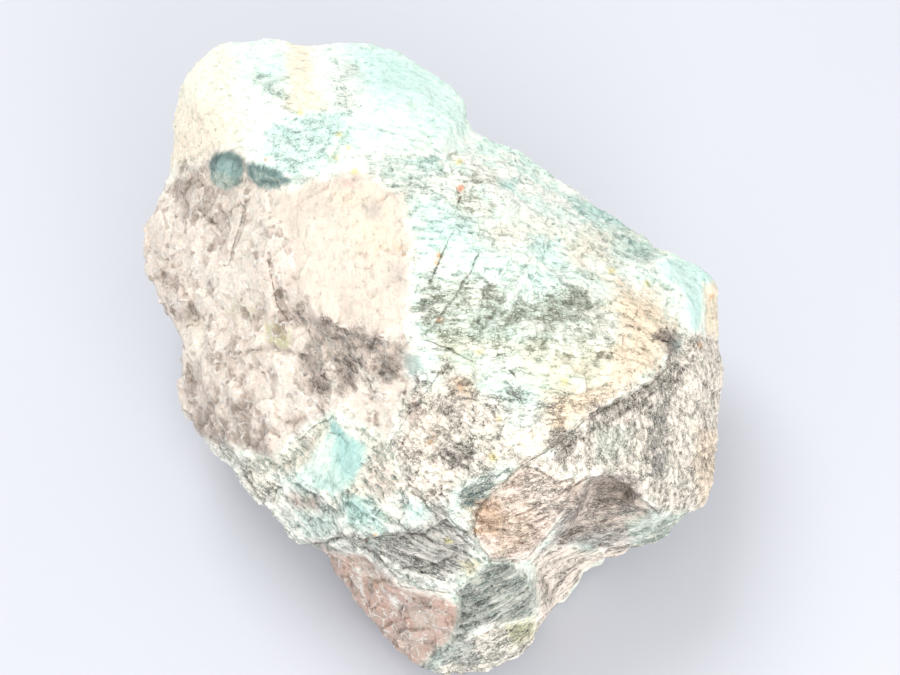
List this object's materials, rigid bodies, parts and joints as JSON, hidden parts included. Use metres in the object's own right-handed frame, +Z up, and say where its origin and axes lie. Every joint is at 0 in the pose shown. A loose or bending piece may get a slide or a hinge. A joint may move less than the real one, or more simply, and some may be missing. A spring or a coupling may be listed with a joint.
{
  "type": "rough amazonite",
  "caption": "Rough lump of green amazonite with cream feldspar and smoky quartz grown into it, broken all round and resting on a small flat spot.",
  "frame": {"origin": "middle of the small flat spot that the stone rests on, on the table", "axes": "+Z up off the table, +Y from the toe to the crown of the stone, +X to the right for someone who looks along +Y; the broken face looks up and towards -Y"},
  "size_m": [0.153, 0.1613, 0.102],
  "materials": {
    "amazonite": "rough broken stone"
  },
  "bodies": {
    "root": {"rough_amazonite": "amazonite"}
  },
  "joints": []
}
